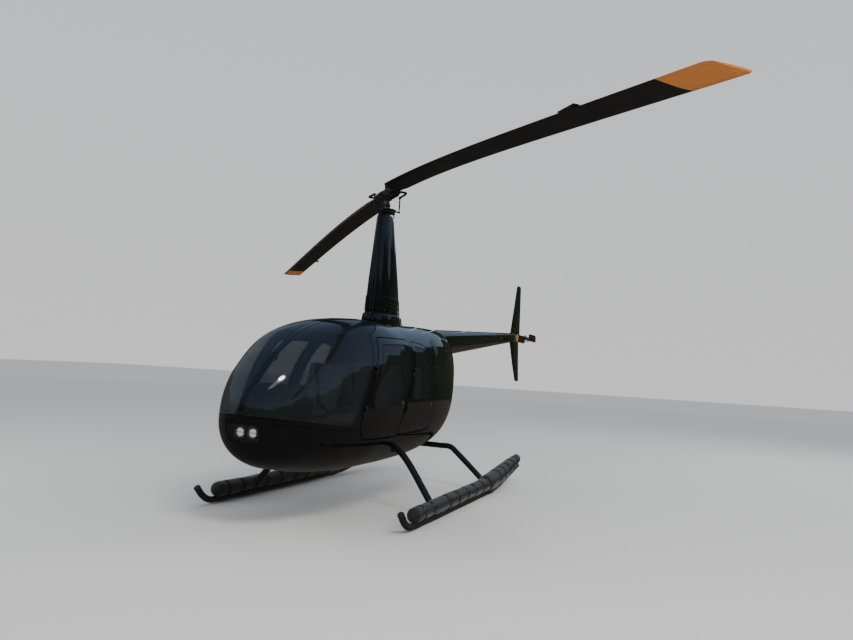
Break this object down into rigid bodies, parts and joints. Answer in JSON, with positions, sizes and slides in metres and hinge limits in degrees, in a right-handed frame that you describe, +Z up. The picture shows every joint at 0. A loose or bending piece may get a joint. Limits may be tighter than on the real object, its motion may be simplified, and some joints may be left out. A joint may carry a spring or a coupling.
{
  "type": "four-seat light helicopter on skids with stowed floats",
  "caption": "Light piston helicopter with a teetering rotor on a tall mast, egg-shaped cabin with hinged doors, slim tail boom and skids with stowed float bags",
  "frame": {"origin": "on the ground, at the middle of the box around the whole machine with its blades parked", "axes": "+X to the nose, +Y to port, +Z up"},
  "size_m": [10.43, 6.9498, 3.332],
  "materials": {
    "body": "high gloss black",
    "glass": "tinted acrylic",
    "lamps": "bright reflector",
    "trim": "dark grained trim",
    "engine": "cast",
    "metal": "satin",
    "frame": "satin black",
    "blade": "satin, orange tips",
    "bag": "coated black fabric",
    "aerial": "white",
    "seat": "dark grey leather"
  },
  "bodies": {
    "airframe": {"belly_shell": "body", "cabin_frame": "body", "windscreen_left": "glass", "windscreen_right": "glass", "lamp_cover": "glass", "landing_lamps": "lamps", "aft_cowl": "body", "side_cowl_left": "body", "side_cowl_right": "body", "top_cowl": "body", "cabin_floor": "trim", "firewall": "trim", "engine_block": "engine", "cooling_fan": "metal", "muffler": "metal", "mast_fairing": "body", "mast_tube": "metal", "swashplate_fixed": "frame", "tail_boom": "body", "tail_gearbox": "frame", "upper_fin": "body", "lower_fin": "body", "horizontal_stabiliser": "body", "cross_tube_front": "frame", "cross_tube_rear": "frame", "skid_left": "frame", "skid_right": "frame", "float_bag_left": "bag", "float_bag_right": "bag", "aerial_1": "aerial", "aerial_2": "aerial", "aerial_3": "aerial", "instrument_console": "trim", "cyclic_stick": "frame", "front_cushion_left": "seat", "front_cushion_right": "seat", "front_back_left": "seat", "front_back_right": "seat", "rear_cushion": "seat", "rear_back": "seat"},
    "main_rotor": {"rotor_shaft": "metal", "swashplate_turning": "frame", "rotor_hub": "frame", "main_blade_1": "blade", "main_blade_2": "blade"},
    "tail_rotor": {"tail_rotor_hub": "metal", "tail_blade_1": "blade", "tail_blade_2": "blade"},
    "door_front_left": {"door_front_left": "body", "window_front_left": "glass"},
    "door_front_right": {"door_front_right": "body", "window_front_right": "glass"},
    "door_rear_left": {"door_rear_left": "body", "window_rear_left": "glass"},
    "door_rear_right": {"door_rear_right": "body", "window_rear_right": "glass"}
  },
  "joints": [
    {"name": "main_rotor_spin", "type": "hinge", "parent": "airframe", "child": "main_rotor", "pos_m": [1.412, 0, 3.225], "axis": [0, 0, 1], "continuous": true},
    {"name": "tail_rotor_spin", "type": "hinge", "parent": "airframe", "child": "tail_rotor", "pos_m": [-4.478, 0.222, 2.02], "axis": [0, 1, 0], "continuous": true},
    {"name": "door_front_left_hinge", "type": "hinge", "parent": "airframe", "child": "door_front_left", "pos_m": [2.921, 0.6191, 0.985], "axis": [0.4646, -0.0059, -0.8855], "range_deg": [0, 80]},
    {"name": "door_front_right_hinge", "type": "hinge", "parent": "airframe", "child": "door_front_right", "pos_m": [2.921, -0.6191, 0.985], "axis": [-0.4646, -0.0059, 0.8855], "range_deg": [0, 80]},
    {"name": "door_rear_left_hinge", "type": "hinge", "parent": "airframe", "child": "door_rear_left", "pos_m": [2.096, 0.6586, 0.985], "axis": [0.4664, 0.0302, -0.8841], "range_deg": [0, 80]},
    {"name": "door_rear_right_hinge", "type": "hinge", "parent": "airframe", "child": "door_rear_right", "pos_m": [2.096, -0.6586, 0.985], "axis": [-0.4664, 0.0302, 0.8841], "range_deg": [0, 80]}
  ],
  "couplings": [
    {"joint": "tail_rotor_spin", "follows": "main_rotor_spin", "ratio": -5.9495}
  ]
}
